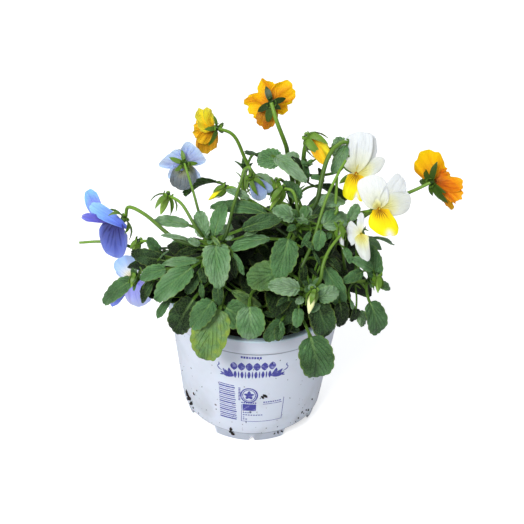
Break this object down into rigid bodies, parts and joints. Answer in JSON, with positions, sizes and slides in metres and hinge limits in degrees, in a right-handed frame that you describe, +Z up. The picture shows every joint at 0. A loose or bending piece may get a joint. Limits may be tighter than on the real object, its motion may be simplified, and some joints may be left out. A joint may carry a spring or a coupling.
{
  "type": "potted pansy planter",
  "caption": "Low tapered nursery pot of soil with bushy garden violas: scalloped oval leaves on branching stems and five-petalled flowers on hooked stalks.",
  "frame": {"origin": "centre of the pot's underside, on the surface that the pot stands on", "axes": "+Z up along the pot's axis; the pot's printed front faces -Y; +X to the right seen from the front"},
  "size_m": [0.2368, 0.1567, 0.241],
  "materials": {
    "pot": "white injection-moulded plastic with a lavender cast, semi-gloss, with plain violet-blue print and soil specks",
    "soil": "dark peat-based potting mix, matt and crumbly",
    "stem": "green herbaceous stem, slightly ribbed",
    "stalk": "light green flower stalk and sepals",
    "bud": "green bud scales",
    "leaf": "deep green leaf with a soft sheen, paler veins and a scalloped edge",
    "leaf_yellowing": "yellow-green ageing leaf with paler edges and veins",
    "petal_orange": "matt orange petals with red-brown folds",
    "petal_yellow": "yellow petals with a brown-gold lip",
    "petal_pale_blue": "pale blue petals with fine darker veins",
    "petal_blue": "sky blue upper petals and violet-blue lower petals",
    "petal_white": "white petals, bright yellow lip and orange throat"
  },
  "bodies": {
    "root": {"bud_pale_front": "bud", "bud_spent_left": "bud", "bud_yellow_left": "bud", "corolla_blue_half": "petal_pale_blue", "corolla_blue_low": "petal_blue", "corolla_blue_side": "petal_blue", "corolla_orange_right": "petal_orange", "corolla_orange_top": "petal_orange", "corolla_pale_back": "petal_pale_blue", "corolla_white_front": "petal_white", "corolla_white_side": "petal_white", "corolla_white_upper": "petal_white", "corolla_yellow_bud": "petal_yellow", "corolla_yellow_side": "petal_yellow", "leaf_back_left": "leaf", "leaf_back_right": "leaf", "leaf_back_top": "leaf", "leaf_centre_hanging": "leaf", "leaf_centre_long": "leaf", "leaf_centre_oval": "leaf", "leaf_far_left": "leaf", "leaf_far_right": "leaf", "leaf_front_right_dark": "leaf", "leaf_front_right_round": "leaf", "leaf_hanging_left": "leaf", "leaf_left_dark": "leaf", "leaf_left_diagonal": "leaf", "leaf_left_horizontal": "leaf", "leaf_lower_left": "leaf", "leaf_lower_left_dark": "leaf", "leaf_right_blade": "leaf", "leaf_right_long": "leaf", "leaf_right_round": "leaf", "leaf_rim_centre": "leaf", "leaf_rim_left": "leaf", "leaf_top_left": "leaf", "leaf_upper_front": "leaf", "leaf_upper_left": "leaf", "leaf_upper_right": "leaf", "leaf_yellow_front_left": "leaf_yellowing", "pot": "pot", "soil": "soil", "stalk_blue_half": "stalk", "stalk_blue_low": "stalk", "stalk_blue_side": "stalk", "stalk_orange_right": "stalk", "stalk_orange_top": "stalk", "stalk_pale_back": "stalk", "stalk_white_front": "stalk", "stalk_white_side": "stalk", "stalk_white_upper": "stalk", "stalk_yellow_bud": "stalk", "stalk_yellow_side": "stalk", "stem_back": "stem", "stem_centre": "stem", "stem_far_left": "stem", "stem_front": "stem", "stem_left": "stem", "stem_right": "stem", "stem_upper": "stem"}
  },
  "joints": []
}
